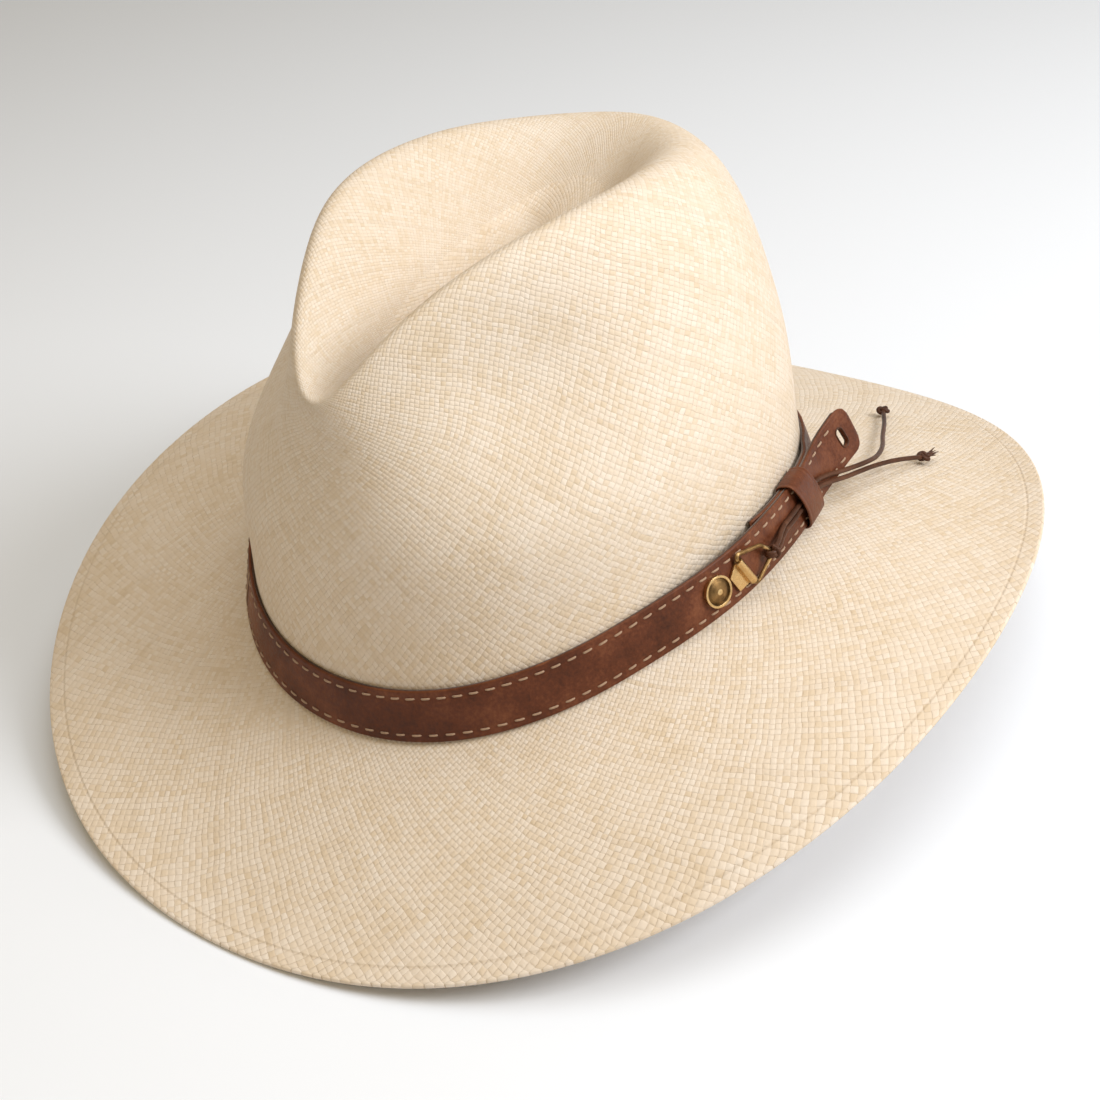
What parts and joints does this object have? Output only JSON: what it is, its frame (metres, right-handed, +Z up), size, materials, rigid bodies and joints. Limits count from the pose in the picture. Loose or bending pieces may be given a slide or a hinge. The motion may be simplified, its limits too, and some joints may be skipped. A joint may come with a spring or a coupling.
{
  "type": "panama hat",
  "caption": "Woven straw hat with a teardrop crown, curled brim, stitched leather band, sliding keeper and small clasp with a lace.",
  "frame": {"origin": "centre of the brim's outline on the surface that the hat stands on", "axes": "+Z up through the crown, +Y towards the back of the hat, +X towards the wearer's left"},
  "size_m": [0.3132, 0.3539, 0.1602],
  "materials": {
    "straw": "matte",
    "sweat_leather": "satin",
    "band_leather": "satin",
    "suede": "matte",
    "lace_leather": "satin",
    "thread": "matte",
    "brass": "brushed"
  },
  "bodies": {
    "hat": {"straw_body": "straw", "sweatband": "sweat_leather", "sweatband_thread": "thread", "band_strap": "band_leather", "band_backing": "suede", "band_thread_upper": "thread", "band_thread_lower": "thread", "band_tacks": "thread", "clasp_boss": "brass", "clasp_burr": "brass", "clasp_tongue": "brass", "lace_lead": "lace_leather", "lace_strand_upper": "lace_leather", "lace_strand_lower": "lace_leather", "lace_knot_upper": "lace_leather", "lace_knot_lower": "lace_leather"},
    "keeper": {"keeper_loop": "band_leather"},
    "loop": {"clasp_loop": "brass", "lace_hitch": "lace_leather"}
  },
  "joints": [
    {"name": "keeper_slide", "type": "slide", "parent": "hat", "child": "keeper", "axis": [-0.1667, 0.983, -0.0766], "range_m": [-0.002, 0.002]},
    {"name": "clasp_loop_swing", "type": "hinge", "parent": "hat", "child": "loop", "pos_m": [0.08833, -0.02522, 0.05602], "axis": [0.2933, 0.3818, -0.8765], "range_deg": [0, 30]}
  ]
}
